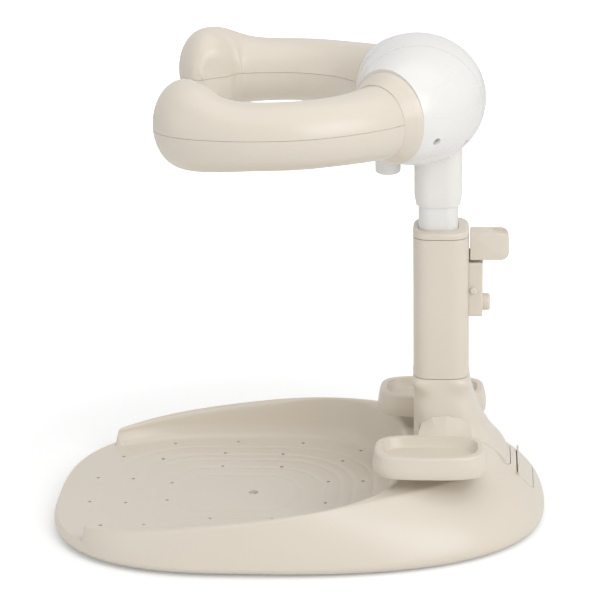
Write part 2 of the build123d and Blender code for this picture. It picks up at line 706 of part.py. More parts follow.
with BuildPart() as head_screws:
    add(head_screws_right.part)
    add(mirrored(head_screws_right.part))
finish(head_screws.part, "head_screws")

with BuildPart() as arm_release_button:
    add(rod((0, KNOB_Y, KNOB_BOTTOM_Z), (0, KNOB_Y, KNOB_TOP_Z), KNOB_RADIUS))
    fillet(arm_release_button.edges().sort_by(Axis.Z)[0], 3)
    add(rod((0, KNOB_Y, KNOB_TOP_Z - 1), (0, KNOB_Y, LOCK_Z - 0.1), 5))
finish(arm_release_button.part, "arm_release_button")

with BuildPart() as lock_plate:
    add(block((-PAD_X - 5, PAD_Y - 20, LOCK_Z), (PAD_X + 5, PAD_Y + 4.5, LOCK_Z + 4)))
    for side in (-1, 1):
        add(rod((side * PAD_X, PAD_Y, LOCK_Z + 1), (side * PAD_X, PAD_Y, 388.5), 4))
finish(lock_plate.part, "lock_plate")

with BuildPart() as release_spring:
    add(coil((0, KNOB_Y, SPRING_SEAT_Z + 0.55), (0, 0, 1), 6.4, 0.35, 2.0, 6.0))
finish(release_spring.part, "release_spring")


def arm_solid(inset):
    """One half of the ring, from its root round to the closed fist at the tip."""
    rings = []
    for angle, radius in ARM_SECTIONS:
        out = Vector(cos(radians(angle)), sin(radians(angle)), 0)
        mid = Vector(0, RING_Y, RING_Z) + out * RING_RADIUS
        rings.append(oval(mid, out, radius - inset, radius - inset, radius - inset))
    for angle, reach, wide, tall, mid_z in FIST_SECTIONS[:FIST_HOLLOW if inset else None]:
        out = Vector(cos(radians(angle)), sin(radians(angle)), 0)
        mid = Vector(FIST_X, FIST_Y, mid_z) + out * reach
        rings.append(oval(mid, out, wide - inset, tall - inset, tall - inset))
    wires = [closed_wire(ring) for ring in rings]
    if inset:
        return Solid.make_loft(wires)
    return Solid.make_loft(wires + [Vertex(*FIST_TIP)])


arm_outside = arm_solid(0.0)
arm_walls = arm_outside - arm_solid(ARM_WALL)
arm_walls = arm_walls - root_bar(1, -30, SEAM, 60)

with BuildPart() as arm_upper_right:
    add(arm_walls)
    add(block((0, -200, PARTING_Z + 0.15), (250, 200, 500)), mode=Mode.INTERSECT)
finish(arm_upper_right.part, "arm_upper_right")

with BuildPart() as arm_lower_right:
    add(arm_walls)
    add(block((0, -200, 300), (250, 200, PARTING_Z - 0.15)), mode=Mode.INTERSECT)
    for x, y in ARM_SCREWS:
        add(rod((x, y, 330), (x, y, 400), 2.2), mode=Mode.SUBTRACT)
finish(arm_lower_right.part, "arm_lower_right")

with BuildPart() as arm_upper_left:
    add(mirrored(arm_upper_right.part))
finish(arm_upper_left.part, "arm_upper_left")

with BuildPart() as arm_lower_left:
    add(mirrored(arm_lower_right.part))
finish(arm_lower_left.part, "arm_lower_left")


def arm_hub(side):
    """Shaft, retaining flange and root plate that carry one arm."""
    with BuildPart() as hub:
        add(root_bar(side, -44.5, 12, HUB_RADIUS - 4))
        add(root_bar(side, -44.5, -40, 18))
        add(root_bar(side, 0.9, 5, ROOT_RADIUS - ARM_WALL - 2.2))
        add(root_bar(side, -50, 20, 5), mode=Mode.SUBTRACT)
    return hub.part


with BuildPart() as arm_hub_right:
    add(arm_hub(1))
finish(arm_hub_right.part, "arm_hub_right")

with BuildPart() as arm_hub_left:
    add(arm_hub(-1))
finish(arm_hub_left.part, "arm_hub_left")


def arm_screws(side):
    """Screws that close the arm's lower half against the upper one."""
    with BuildPart() as screws:
        for x, y in ARM_SCREWS:
            add(rod((side * x, y, 381.6), (side * x, y, 384.0), 3.4))
            add(rod((side * x, y, 383.6), (side * x, y, 398.0), 1.5))
    return screws.part


with BuildPart() as arm_screws_right:
    add(arm_screws(1))
finish(arm_screws_right.part, "arm_screws_right")

with BuildPart() as arm_screws_left:
    add(arm_screws(-1))
finish(arm_screws_left.part, "arm_screws_left")


def tray_ring(inset, z):
    """A level ring of the tray's rounded rectangular outline."""
    half_x, half_y = TRAY_WIDTH / 2 - inset, TRAY_LENGTH / 2 - inset
    ring = egg_ring(TRAY_Y, half_x, half_y, half_y, TRAY_POWER, TRAY_POWER, z)
    return [(x + TRAY_X, y, height) for x, y, height in ring]


def tray_body(levels, rounding_low, rounding_high):
    """A block through level rings, its lowest and highest edges rounded."""
    with BuildPart() as body:
        add(loft_rings([tray_ring(inset, z) for inset, z in levels]))
        ends = body.faces().sort_by(Axis.Z)
        if rounding_high:
            fillet(ends[-1].edges(), rounding_high)
        if rounding_low:
            fillet(body.faces().sort_by(Axis.Z)[0].edges(), rounding_low)
    return body.part


def upright_arch(x, points, rounding):
    """One end of the boss that joins a tray to the neck."""
    with BuildSketch(Plane.YZ.offset(x)) as arch:
        with BuildLine():
            Polyline(*points, points[0])
        make_face()
        if rounding:
            fillet(arch.vertices().filter_by_position(Axis.Z, 99, 112), rounding)
    return arch.sketch


with BuildPart() as tray_right:
    add(tray_body(((1.2, TRAY_BOTTOM_Z), (0.0, 79), (1.0, 88), (2.4, TRAY_RIM_Z)), 1.2, 3.2))
    add(upright_arch(30, ((120.5, 84), (121.5, 100), (129.7, 109), (145, 111), (160, 108),
                          (168, 100), (169, 84)), 5))
    add(upright_arch(TRAY_X - TRAY_WIDTH / 2 + 8,
                     ((118, 84), (118, 94.4), (129.7, 95), (145, 95), (160, 95), (170, 94.4),
                      (170, 84)), 0))
    loft()
    add(tray_body(((13.5, TRAY_FLOOR_Z), (10.5, TRAY_FLOOR_Z + 5), (8.2, TRAY_RIM_Z + 1),
                   (6.5, TRAY_RIM_Z + 4)), 2.0, 0), mode=Mode.SUBTRACT)
    add(loft_rings([tray_ring(TRAY_WALL + 1, TRAY_BOTTOM_Z - 2),
                    tray_ring(TRAY_WALL + 1, TRAY_FLOOR_Z - 6),
                    tray_ring(TRAY_WALL + 8, TRAY_FLOOR_Z - TRAY_WALL)]), mode=Mode.SUBTRACT)
    add(loft_rings(neck_rings(-SLIDE_FIT)), mode=Mode.SUBTRACT)
    add(block((29, TRAY_Y - 10, 88), (TRAY_ROOT_X + 4, TRAY_Y + 10, 96)))
finish(tray_right.part, "tray_right")

with BuildPart() as tray_left:
    add(mirrored(tray_right.part))
finish(tray_left.part, "tray_left")
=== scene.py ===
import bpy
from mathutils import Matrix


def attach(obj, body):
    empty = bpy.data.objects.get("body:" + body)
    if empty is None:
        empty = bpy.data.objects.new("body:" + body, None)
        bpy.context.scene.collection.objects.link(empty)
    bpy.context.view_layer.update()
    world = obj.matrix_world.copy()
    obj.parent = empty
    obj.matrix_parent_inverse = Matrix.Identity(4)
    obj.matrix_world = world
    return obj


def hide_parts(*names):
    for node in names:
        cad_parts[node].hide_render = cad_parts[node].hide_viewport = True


bl_info = {
    "name": "Baby Bath Seat",
    "version": (1, 0, 0),
    "blender": (4, 5, 0),
    "location": "3D Viewport > Sidebar > Bath Seat",
    "description": "Dresses the bath seat's fixed frame with its tub, plastics, lights and camera",
    "category": "Add Mesh",
}

from math import cos, pi, radians, sin

import bmesh
import bpy
import numpy as np
from bpy.props import FloatProperty, FloatVectorProperty, PointerProperty
from mathutils import Matrix, Vector

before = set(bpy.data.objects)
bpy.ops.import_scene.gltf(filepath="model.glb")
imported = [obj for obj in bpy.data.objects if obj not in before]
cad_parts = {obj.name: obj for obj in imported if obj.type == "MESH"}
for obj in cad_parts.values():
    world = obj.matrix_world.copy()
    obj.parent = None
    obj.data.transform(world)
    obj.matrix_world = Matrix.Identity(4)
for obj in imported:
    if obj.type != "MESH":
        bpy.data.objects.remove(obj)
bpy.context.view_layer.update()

MM = 0.001

# Plan of the tub, millimetres
TUB_MID_Y = -40.0
BELLY = (172.0, 196.5, 280.0, 2.7, 2.5)     # half width, front, rear, front power, rear power
CREST = (161.0, 196.0, 244.0, 2.75, 1.65)
BELLY_Z = 9.0
SKIRT_Z = 4.0
FLOOR_Z = 15.0
POCKET_HALF_WIDTH = 144.0
POCKET_FRONT = 190.0
POCKET_REAR = 137.0
POCKET_FOOT = ((0.0, -8.0), (0.3, -6.2), (0.9, -4.2), (2.9, -1.2), (6.0, 0.6), (12.0, 2.8),
               (25.0, 5.2), (50.0, 10.0))
WALL_END_Y = -196.0
WALL_MID_X = 122.0
WALL_END_LENGTH = 18.0                      # stretch over which the wall's end tapers
WALL_END_REACH = 16.0
WALL_END_HALF_WIDTH = 8.0
WALL_END_ROUNDING = 5.5
WALL_SLANT = 0.6                            # how far the wall's middle leans out, per mm of y
SKIRT_TUCK = 3.0
SKIRT_REAR_DROP = 1.2
RING_MID_Y = -60.0
NECK_FRONT_Y = 113.5
NECK_SECTIONS = (                           # height, half width, rear y, squareness
    (57.0, 100.0, 203.0, 2.2), (58.6, 88.0, 203.6, 2.2), (61.2, 76.0, 203.4, 2.3),
    (65.3, 65.0, 201.5, 2.4), (71.0, 56.0, 197.6, 2.5), (78.5, 47.5, 191.6, 2.6),
    (86.0, 41.5, 186.4, 2.8), (94.0, 37.5, 181.8, 2.9), (103.0, 34.8, 177.4, 3.1),
    (115.0, 32.4, 172.8, 3.3), (128.0, 30.4, 169.0, 3.6), (143.0, 29.0, 166.5, 3.8),
)
DRAIN_HOLES = (                             # right half of the pocket floor
    (21.5, -127.3), (30, -167), (30.2, -202.3), (65.5, -80.8), (64.5, -21), (82, -143),
    (26.5, 28), (27, 62.4), (79, 39.8), (86, -183.8), (98.3, -81), (96.9, -21.9),
    (106.4, 57.3), (122.5, -135), (128.8, -70.2), (125.5, -3.1),
)
FLOOR_RINGS = ((44, 0), (62, 21), (82, 41), (94, 53), (114, 73))    # half width, rear end
FLARE_BLEND_Z = 76.0                        # the flare's foot starts to sink below this height
FLARE_FOOT_Z = 57.0
FLARE_SINK = 14.0

# Holes cut in the tub, millimetres
NECK_CUT = ((-40, 60), (-40, 165), (-27, 207), (27, 207), (40, 165), (40, 60))
NECK_STEP_Y = 150.0
HATCH_CUT = ((-32, 212.6), (32, 212.6), (32, 229), (-32, 229))
HATCH_CORNER = 7.0
OUTLET_Y = -44.3
DRAIN_MID_Z = 14.0
DRAIN_DEPTH = 8.0

# Height lever in the side view, millimetres
LEVER_FRONT_Y = 167.3
LEVER_REAR_Y = 204.0
LEVER_BOTTOM_Z = 256.6
LEVER_TOP_Z = 283.0
LEVER_HALF_WIDTH = 11.5
LEVER_EDGE = 1.5
PIVOT = (170.8, 260.0)
BORE_RADIUS = 2.15
BORE_HALF_WIDTH = 11.1                      # short of the lever's sides, so the pin is hidden
SCOOP = (195.0, 293.5)
SCOOP_RADIUS = 14.0
SCOOP_HALF_WIDTH = 8.3
SLOT_HALF_WIDTH = 3.9
SLOT_REAR_Y = 175.3
SLOT_TOP_Z = 276.0

# Camera, metres and degrees
CAMERA_PLACE = (2.2404, 0.1627, 0.9715)
CAMERA_TARGET = (0.0, 0.0053, 0.213)
CAMERA_ROLL = 1.15


class BathSeatSizes(bpy.types.PropertyGroup):
    wall_rounding: FloatProperty(
        name="Wall Rounding", description="Radius on the outer edge of the tub's crest",
        default=0.010, min=0.002, max=0.02, unit="LENGTH")
    inner_rounding: FloatProperty(
        name="Inner Rounding", description="Radius on the pocket side of the tub's crest",
        default=0.009, min=0.001, max=0.012, unit="LENGTH")
    lip_rounding: FloatProperty(
        name="Lip Rounding", description="How softly the open front rolls over to the ground",
        default=0.008, min=0.002, max=0.015, unit="LENGTH")
    drain_diameter: FloatProperty(
        name="Drain Diameter", description="Width of each small drain hole",
        default=0.0036, min=0.001, max=0.008, unit="LENGTH")
    outlet_diameter: FloatProperty(
        name="Outlet Diameter", description="Width of the middle drain hole",
        default=0.0095, min=0.004, max=0.02, unit="LENGTH")
    lever_rounding: FloatProperty(
        name="Lever Rounding", description="Radius on the lever's free end, seen from the side",
        default=0.0075, min=0.002, max=0.012, unit="LENGTH")
    ring_depth: FloatProperty(
        name="Floor Ring Depth", description="Depth of the shallow rings in the pocket floor",
        default=0.0005, min=0.0, max=0.002, unit="LENGTH")


class BathSeatColours(bpy.types.PropertyGroup):
    beige: FloatVectorProperty(
        name="Beige", description="Satin plastic of the tub, column, trays and arms",
        subtype="COLOR", size=3, default=(0.72, 0.655, 0.56), min=0, max=1)
    white: FloatVectorProperty(
        name="White", description="Smooth plastic of the head and the post",
        subtype="COLOR", size=3, default=(0.81, 0.80, 0.775), min=0, max=1)
    cream: FloatVectorProperty(
        name="Cream", description="Plastic of the sleeve on the post",
        subtype="COLOR", size=3, default=(0.82, 0.80, 0.765), min=0, max=1)
    rubber: FloatVectorProperty(
        name="Rubber", description="Soft plastic of the suction cups",
        subtype="COLOR", size=3, default=(0.48, 0.47, 0.45), min=0, max=1)
    steel: FloatVectorProperty(
        name="Steel", description="Screws, pins and springs",
        subtype="COLOR", size=3, default=(0.6, 0.6, 0.6), min=0, max=1)
    ground: FloatVectorProperty(
        name="Ground", description="The plain pale floor",
        subtype="COLOR", size=3, default=(0.93, 0.93, 0.93), min=0, max=1)


# Shader groups and materials

def add_node(tree, kind, place, **settings):
    node = tree.nodes.new(kind)
    node.location = place
    for name, value in settings.items():
        setattr(node, name, value)
    return node


def moulded_surface_group():
    """Colour drift, roughness drift and grain height of moulded plastic."""
    name = "Moulded Surface"
    if name in bpy.data.node_groups:
        return bpy.data.node_groups[name]
    tree = bpy.data.node_groups.new(name, "ShaderNodeTree")
    face = tree.interface
    face.new_socket("Colour", in_out="INPUT", socket_type="NodeSocketColor")
    for label, value in (("Drift", 0.03), ("Cloud Scale", 9.0), ("Grain Scale", 1400.0),
                         ("Grain Height", 0.3), ("Roughness", 0.4), ("Sheen Drift", 0.06)):
        socket = face.new_socket(label, in_out="INPUT", socket_type="NodeSocketFloat")
        socket.default_value = value
    face.new_socket("Colour", in_out="OUTPUT", socket_type="NodeSocketColor")
    face.new_socket("Roughness", in_out="OUTPUT", socket_type="NodeSocketFloat")
    face.new_socket("Height", in_out="OUTPUT", socket_type="NodeSocketFloat")
    link = tree.links.new
    given = add_node(tree, "NodeGroupInput", (-900, 0))
    place = add_node(tree, "ShaderNodeTexCoord", (-1100, -200))
    cloud = add_node(tree, "ShaderNodeTexNoise", (-700, 200))
    cloud.inputs["Detail"].default_value = 3.0
    cloud.inputs["Roughness"].default_value = 0.55
    grain = add_node(tree, "ShaderNodeTexNoise", (-700, -200))
    grain.inputs["Detail"].default_value = 2.0
    link(place.outputs["Object"], cloud.inputs["Vector"])
    link(place.outputs["Object"], grain.inputs["Vector"])
    link(given.outputs["Cloud Scale"], cloud.inputs["Scale"])
    link(given.outputs["Grain Scale"], grain.inputs["Scale"])
    centred = add_node(tree, "ShaderNodeMath", (-500, 200), operation="SUBTRACT")
    centred.inputs[1].default_value = 0.5
    link(cloud.outputs["Fac"], centred.inputs[0])
    drift = add_node(tree, "ShaderNodeMath", (-320, 260), operation="MULTIPLY_ADD")
    drift.inputs[2].default_value = 1.0
    link(centred.outputs[0], drift.inputs[0])
    link(given.outputs["Drift"], drift.inputs[1])
    tint = add_node(tree, "ShaderNodeVectorMath", (-120, 240), operation="SCALE")
    link(given.outputs["Colour"], tint.inputs[0])
    link(drift.outputs[0], tint.inputs["Scale"])
    rough = add_node(tree, "ShaderNodeMath", (-320, 40), operation="MULTIPLY_ADD")
    link(centred.outputs[0], rough.inputs[0])
    link(given.outputs["Sheen Drift"], rough.inputs[1])
    link(given.outputs["Roughness"], rough.inputs[2])
    height = add_node(tree, "ShaderNodeMath", (-320, -200), operation="MULTIPLY")
    link(grain.outputs["Fac"], height.inputs[0])
    link(given.outputs["Grain Height"], height.inputs[1])
    result = add_node(tree, "NodeGroupOutput", (120, 0))
    link(tint.outputs[0], result.inputs["Colour"])
    link(rough.outputs[0], result.inputs["Roughness"])
    link(height.outputs[0], result.inputs["Height"])
    return tree


def plastic(name, colour, roughness, drift=0.03, grain=0.3, grain_scale=1400.0, sheen=0.06,
            coat=0.0):
    """A moulded plastic. metal() turns one into a metal."""
    if name in bpy.data.materials:
        return bpy.data.materials[name]
    material = bpy.data.materials.new(name)
    material.use_nodes = True
    tree = material.node_tree
    tree.nodes.clear()
    surface = add_node(tree, "ShaderNodeGroup", (-500, 0))
    surface.node_tree = moulded_surface_group()
    for label, value in (("Colour", (*colour, 1)), ("Drift", drift), ("Roughness", roughness),
                         ("Grain Height", grain), ("Grain Scale", grain_scale),
                         ("Sheen Drift", sheen)):
        surface.inputs[label].default_value = value
    bump = add_node(tree, "ShaderNodeBump", (-250, -200))
    bump.inputs["Strength"].default_value = 0.25
    bump.inputs["Distance"].default_value = 0.0002
    shader = add_node(tree, "ShaderNodeBsdfPrincipled", (0, 0))
    shader.inputs["Coat Weight"].default_value = coat
    shader.inputs["Coat Roughness"].default_value = 0.12
    result = add_node(tree, "ShaderNodeOutputMaterial", (300, 0))
    link = tree.links.new
    link(surface.outputs["Colour"], shader.inputs["Base Color"])
    link(surface.outputs["Roughness"], shader.inputs["Roughness"])
    link(surface.outputs["Height"], bump.inputs["Height"])
    link(bump.outputs["Normal"], shader.inputs["Normal"])
    link(shader.outputs["BSDF"], result.inputs["Surface"])
    return material


def metal(name, colour, roughness):
    material = plastic(name, colour, roughness, drift=0.1, grain=0.2, grain_scale=900.0)
    shader = next(n for n in material.node_tree.nodes if n.type == "BSDF_PRINCIPLED")
    shader.inputs["Metallic"].default_value = 1.0
    return material


def beige_satin(scene):
    return plastic("satin_beige", scene.bath_seat_colours.beige, 0.29, drift=0.025, grain=0.3)


def white_gloss(scene):
    return plastic("smooth_white", scene.bath_seat_colours.white, 0.27, drift=0.012, grain=0.12,
                   coat=0.15)


def cream_satin(scene):
    return plastic("sleeve_cream", scene.bath_seat_colours.cream, 0.34, drift=0.015, grain=0.2)


def soft_rubber(scene):
    return plastic("cup_rubber", scene.bath_seat_colours.rubber, 0.5, drift=0.08, grain=0.5,
                   grain_scale=700.0)


def plain_steel(scene):
    return metal("plain_steel", scene.bath_seat_colours.steel, 0.32)


def dress(names, material):
    """Give carried-over parts of the frame their finish."""
    for name in names:
        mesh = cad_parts[name].data
        mesh.materials.clear()
        mesh.materials.append(material)


# Mesh helpers

def new_piece(name, mesh, material):
    piece = bpy.data.objects.new(name, mesh)
    bpy.context.scene.collection.objects.link(piece)
    mesh.materials.clear()
    mesh.materials.append(material)
    return piece


def grid_mesh(name, rings):
    """A closed tube of quads through rings of points; both ends are closed by a point."""
    rings = np.asarray(rings, float)
    rows, count = rings.shape[:2]
    points = rings.reshape(-1, 3)
    first = points[:count].mean(0)
    last = points[-count:].mean(0)
    vertices = np.vstack([points, first, last]) * MM
    faces = []
    for row in range(rows - 1):
        low, high = row * count, (row + 1) * count
        for k in range(count):
            after = (k + 1) % count
            faces.append((low + k, low + after, high + after, high + k))
    start, end = rows * count, rows * count + 1
    for k in range(count):
        after = (k + 1) % count
        faces.append((start, after, k))
        top = (rows - 1) * count
        faces.append((end, top + k, top + after))
    mesh = bpy.data.meshes.new(name)
    mesh.from_pydata([tuple(v) for v in vertices], [], faces)
    mesh.polygons.foreach_set("use_smooth", [True] * len(faces))
    mesh.update()
    return mesh


def outward(mesh):
    work = bmesh.new()
    work.from_mesh(mesh)
    bmesh.ops.remove_doubles(work, verts=work.verts, dist=1e-6)
    bmesh.ops.recalc_face_normals(work, faces=work.faces)
    work.to_mesh(mesh)
    work.free()
    mesh.update()


def prism(name, outline, low, high):
    """An upright block over a plan outline, in millimetres."""
    work = bmesh.new()
    floor = [work.verts.new((x * MM, y * MM, low * MM)) for x, y in outline]
    roof = [work.verts.new((x * MM, y * MM, high * MM)) for x, y in outline]
    work.faces.new(floor[::-1])
    work.faces.new(roof)
    for k in range(len(outline)):
        after = (k + 1) % len(outline)
        work.faces.new((floor[k], floor[after], roof[after], roof[k]))
    bmesh.ops.recalc_face_normals(work, faces=work.faces)
    mesh = bpy.data.meshes.new(name)
    work.to_mesh(mesh)
    work.free()
    return mesh


def crosswise(name, outline, half_width):
    """A block over an outline in the side view (y, z), standing across the middle plane."""
    mesh = prism(name, outline, -half_width, half_width)
    mesh.transform(Matrix(((0, 0, 1, 0), (1, 0, 0, 0), (0, 1, 0, 0), (0, 0, 0, 1))))
    return mesh


def circle_outline(middle, radius, count):
    return [(middle[0] + radius * cos(a), middle[1] + radius * sin(a))
            for a in np.linspace(0, 2 * pi, count, False)]


def place_cutter(mesh):
    piece = bpy.data.objects.new(mesh.name, mesh)
    bpy.context.scene.collection.objects.link(piece)
    return piece


def rounded_outline(corners, radius, steps=6):
    """Corners of a plan outline, each rounded by its own radius."""
    result = []
    count = len(corners)
    for k in range(count):
        here = Vector(corners[k])
        before = (Vector(corners[k - 1]) - here).normalized()
        after = (Vector(corners[(k + 1) % count]) - here).normalized()
        size = radius[k] if isinstance(radius, (list, tuple)) else radius
        if size <= 0:
            result.append(tuple(here))
            continue
        half = before.angle(after) / 2
        reach = size / np.tan(half)
        middle = here + (before + after).normalized() * (size / sin(half))
        start, end = here + before * reach - middle, here + after * reach - middle
        turn = start.angle_signed(end)
        for step in range(steps + 1):
            result.append(tuple(middle + Matrix.Rotation(-turn * step / steps, 2) @ start))
    return result


def carve(piece, cutters):
    """Cut away the cutters, then merge the result into one plain mesh."""
    for cutter in cutters:
        cut = piece.modifiers.new("Cut", "BOOLEAN")
        cut.operation = "DIFFERENCE"
        cut.solver = "EXACT"
        cut.object = cutter
    bpy.context.view_layer.update()
    evaluated = piece.evaluated_get(bpy.context.evaluated_depsgraph_get())
    mesh = bpy.data.meshes.new_from_object(evaluated)
    piece.modifiers.clear()
    old = piece.data
    piece.data = mesh
    bpy.data.meshes.remove(old)
    for cutter in cutters:
        bpy.data.objects.remove(cutter)


# The tub's shape

def smooth_min(a, b, reach):
    share = np.clip(0.5 + 0.5 * (b - a) / reach, 0, 1)
    return b + (a - b) * share - reach * share * (1 - share) / 2


def smooth_max(a, b, reach):
    return -smooth_min(-a, -b, reach)


def egg_radius(angle, half_width, front, rear, front_power, rear_power):
    """Distance from the middle of the tub's plan to an egg outline."""
    rearward = np.sin(angle) > 0
    length = np.where(rearward, rear, front)
    power = np.where(rearward, rear_power, front_power)
    across = np.abs(np.cos(angle)) / half_width
    along = np.abs(np.sin(angle)) / length
    return (across**power + along**power) ** (-1 / power)


def crest_height(y):
    """The wall's crest climbs from its ends towards the back."""
    share = np.minimum(1.0, (y - WALL_END_Y) / 296)
    return 30.0 + 31.5 * (1 - np.abs(1 - share) ** 1.35)


def pocket_radius(angle, rise):
    out = np.interp(rise, [r for r, _ in POCKET_FOOT], [o for _, o in POCKET_FOOT])
    return egg_radius(angle, POCKET_HALF_WIDTH + out, POCKET_FRONT + out,
                      POCKET_REAR + out * (1.0 if out < 0 else 0.62), 3.2, 2.8)


def neck_height(x, y):
    """Height of the neck's flare over a plan point, falling away outside it."""
    z, wide, rear, power = (np.array(c) for c in zip(*NECK_SECTIONS))
    fine = np.linspace(z[0], z[-1], 240)
    wide, rear, power = (np.interp(fine, z, c) for c in (wide, rear, power))
    soft = np.ones(9) / 9
    pad = 4
    wide, rear, power = (np.convolve(np.pad(c, pad, "edge"), soft, "valid")
                         for c in (wide, rear, power))
    height, below = None, None
    for level, w, back, p in zip(fine, wide, rear, power):
        middle, length = (NECK_FRONT_Y + back) / 2, (back - NECK_FRONT_Y) / 2
        ratio = ((np.abs(x) / w) ** p + (np.abs(y - middle) / length) ** p) ** (1 / p)
        if height is None:
            height = level - (ratio - 1) * 60
        else:
            between = (below <= 1) & (ratio > 1)
            share = (1 - below[between]) / (ratio - below)[between]
            height[between] = level - (1 - share) * (fine[1] - fine[0])
        below = ratio
    height[below <= 1] = fine[-1]
    # The foot of the flare sinks under the rear slope, so the two surfaces run together
    sunk = (FLARE_BLEND_Z - np.maximum(height, FLARE_FOOT_Z)) / (FLARE_BLEND_Z - FLARE_FOOT_Z)
    return height - FLARE_SINK * np.clip(sunk, 0, 1) ** 2


def column_angles():
    """Angles round the tub, packed closer at the two wall ends."""
    grid = np.linspace(-pi / 2, pi / 2, 4001)
    end = np.arctan2(WALL_END_Y + 6 - TUB_MID_Y, WALL_MID_X)
    weight = 1 + 5 * np.exp(-((grid - end) / 0.055) ** 2)
    total = np.cumsum(weight)
    total = (total - total[0]) / (total[-1] - total[0])
    right = np.interp(np.linspace(0, 1, 241), total, grid)
    left = pi - right[1:-1][::-1]
    return np.concatenate([right, left])


def corner_arc(before, corner, after, radius, steps):
    """Points of the arc that rounds one corner of a profile."""
    one, two = before - corner, after - corner
    one_len, two_len = np.hypot(*one), np.hypot(*two)
    one, two = one / one_len, two / two_len
    half = np.arccos(np.clip(one @ two, -1, 1)) / 2
    reach = min(radius / np.tan(half), one_len * 0.95, two_len * 0.95)
    size = reach * np.tan(half)
    middle = corner + (one + two) / np.hypot(*(one + two)) * (size / np.sin(half))
    start, end = corner + one * reach - middle, corner + two * reach - middle
    turn = np.arctan2(start[0] * end[1] - start[1] * end[0], start @ end)
    points = []
    for step in range(steps + 1):
        a = turn * step / steps
        points.append(middle + np.array((start[0] * cos(a) - start[1] * sin(a),
                                         start[0] * sin(a) + start[1] * cos(a))))
    return points


def tub_column(angle, sizes):
    """One upright profile of the tub, from the skirt over the wall to the middle."""
    belly = float(egg_radius(angle, *BELLY))
    crest = float(egg_radius(angle, *CREST))
    top = float(crest_height(TUB_MID_Y + crest * sin(angle)))
    bulge = 0.28 + 0.52 * max(0.0, sin(angle)) ** 2
    skirt = SKIRT_Z - SKIRT_REAR_DROP * max(0.0, sin(angle))
    points = [np.array((belly - SKIRT_TUCK * (1 - (z - skirt) / (BELLY_Z - skirt)) ** 2, z))
              for z in np.linspace(skirt, BELLY_Z - 0.8, 6)]
    wall = []
    for share in np.linspace(0, 1, 41):
        reach = share - bulge * share * (1 - share)
        wall.append(np.array((belly - (belly - crest) * reach,
                              BELLY_Z + (top - BELLY_Z) * share)))
    edge = float(pocket_radius(angle, top - FLOOR_Z))
    inner = [np.array((float(pocket_radius(angle, rise)), FLOOR_Z + rise))
             for rise in np.linspace(top - FLOOR_Z, 6.0, 12)]
    flat = crest - edge
    outer_size = min(sizes[0], max(1.0, flat * 0.56))
    inner_size = min(sizes[1], max(0.6, flat * 0.54))
    corner, rim = wall[-1], inner[0]
    cut = [p for p in wall if top - p[1] > outer_size * 0.9]
    arc = corner_arc(cut[-1], corner, rim, outer_size, 9)
    low = [p for p in inner if top - p[1] > inner_size * 0.9]
    inner_arc = corner_arc(corner, rim, low[0], inner_size, 6)
    points += resample(cut + [arc[0]], 18)[:-1]
    points += arc
    points += resample([arc[-1], inner_arc[0]], 50)[1:-1]
    points += inner_arc
    points += resample([inner_arc[-1]] + low, 8)[1:]
    for rise in (4.4, 2.9, 1.8, 0.9, 0.4, 0.1):
        points.append(np.array((float(pocket_radius(angle, rise)), FLOOR_Z + rise)))
    last = float(pocket_radius(angle, 0.0))
    for share in np.linspace(1, 0.02, 84):
        points.append(np.array((last * share, FLOOR_Z)))
    return points


def resample(points, count):
    points = np.array(points)
    steps = np.hypot(*np.diff(points, axis=0).T)
    run = np.concatenate([[0], np.cumsum(steps)])
    at = np.linspace(0, run[-1], count)
    return [np.array(p) for p in zip(np.interp(at, run, points[:, 0]),
                                     np.interp(at, run, points[:, 1]))]


def outer_height(angle, reach):
    """Height of the outer wall carried on upwards, where it would stand over a point."""
    return BELLY_Z + (egg_radius(angle, *BELLY) - reach) * 3.0


def wall_end(x, y):
    """Rise over the floor that the wall may have near its rounded front end."""
    middle = WALL_MID_X + WALL_SLANT * (y - WALL_END_Y - 3)
    across = (np.abs(x) - middle) / WALL_END_HALF_WIDTH
    along = np.maximum(0, WALL_END_Y + WALL_END_LENGTH - y) / WALL_END_REACH
    away = np.maximum(np.hypot(across, along), 1e-6)
    steepness = np.hypot(across / WALL_END_HALF_WIDTH, along / WALL_END_REACH)
    inward = (1 - away) * away / np.maximum(steepness, 1e-6)
    top = crest_height(y) - FLOOR_Z + 2
    shoulder = WALL_END_ROUNDING
    part = np.clip(inward, 0, shoulder)
    over = top - shoulder + np.sqrt(shoulder**2 - (shoulder - part) ** 2)
    return np.where(inward < 0, top - shoulder + 4 * inward, over)


def ring_relief(x, y, depth):
    """Shallow rounded-rectangular rings pressed into the pocket floor."""
    relief = np.zeros(x.shape)
    for wide, rear in FLOOR_RINGS:
        length, corner = rear - RING_MID_Y, wide * 0.8
        across = np.abs(x) - (wide - corner)
        along = np.abs(y - RING_MID_Y) - (length - corner)
        gap = np.hypot(np.maximum(across, 0), np.maximum(along, 0)) \
            + np.minimum(np.maximum(across, along), 0) - corner
        relief -= depth * np.exp(-(gap / 2.2) ** 2) + depth * 0.6 / (1 + np.exp(gap / 1.2))
    return relief


